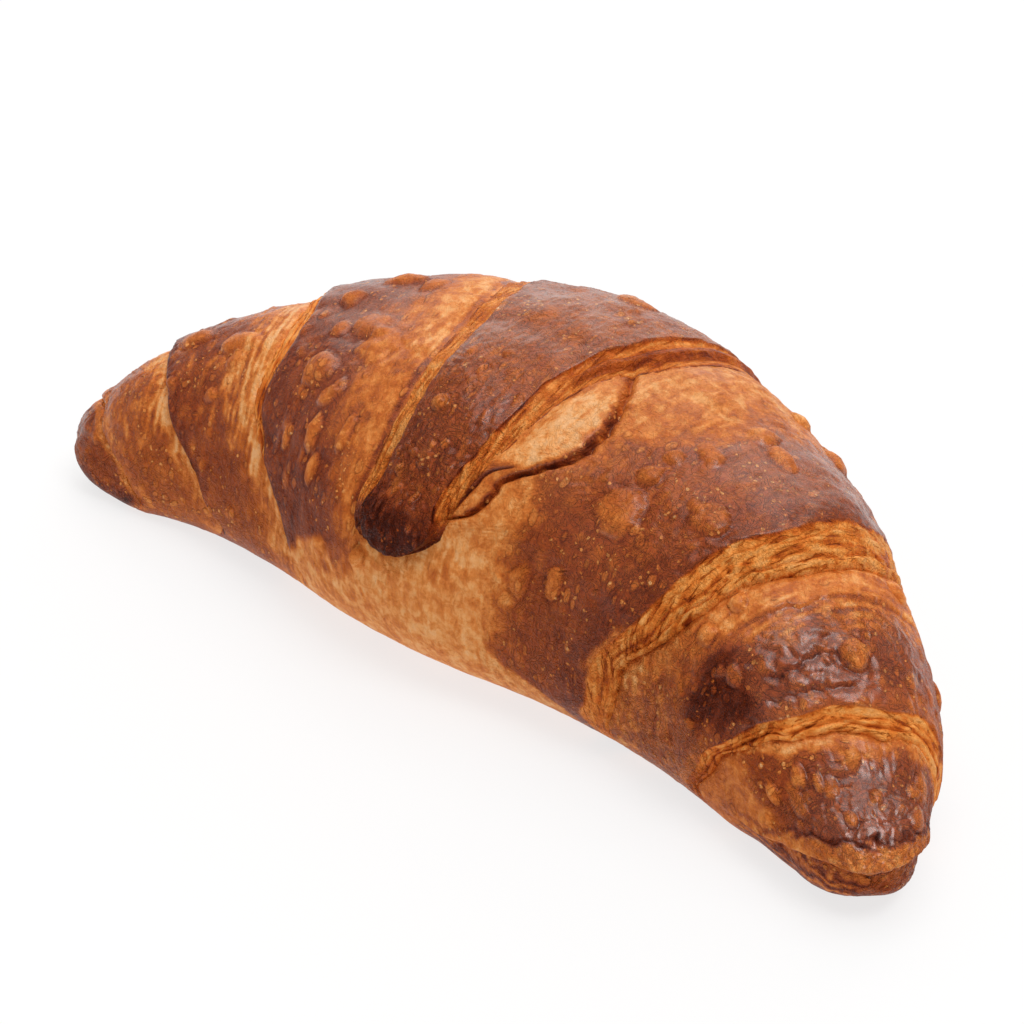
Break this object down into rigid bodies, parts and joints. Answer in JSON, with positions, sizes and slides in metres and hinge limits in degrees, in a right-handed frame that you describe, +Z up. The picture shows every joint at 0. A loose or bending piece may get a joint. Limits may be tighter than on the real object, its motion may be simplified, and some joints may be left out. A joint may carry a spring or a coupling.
{
  "type": "pretzel croissant",
  "caption": "Baked lye-crust croissant: a curved roll with stepped, laminated layer edges, a blunt flap over its crest and a torn pale patch beside it.",
  "frame": {"origin": "middle of the bounding box at the foot, on the table", "axes": "+X from the left tip to the right tip, +Y towards the outer, convex side, +Z up"},
  "size_m": [0.1754, 0.0724, 0.051],
  "materials": {
    "crust": "satin baked crust, golden to dark mahogany"
  },
  "bodies": {
    "root": {"croissant": "crust"}
  },
  "joints": []
}
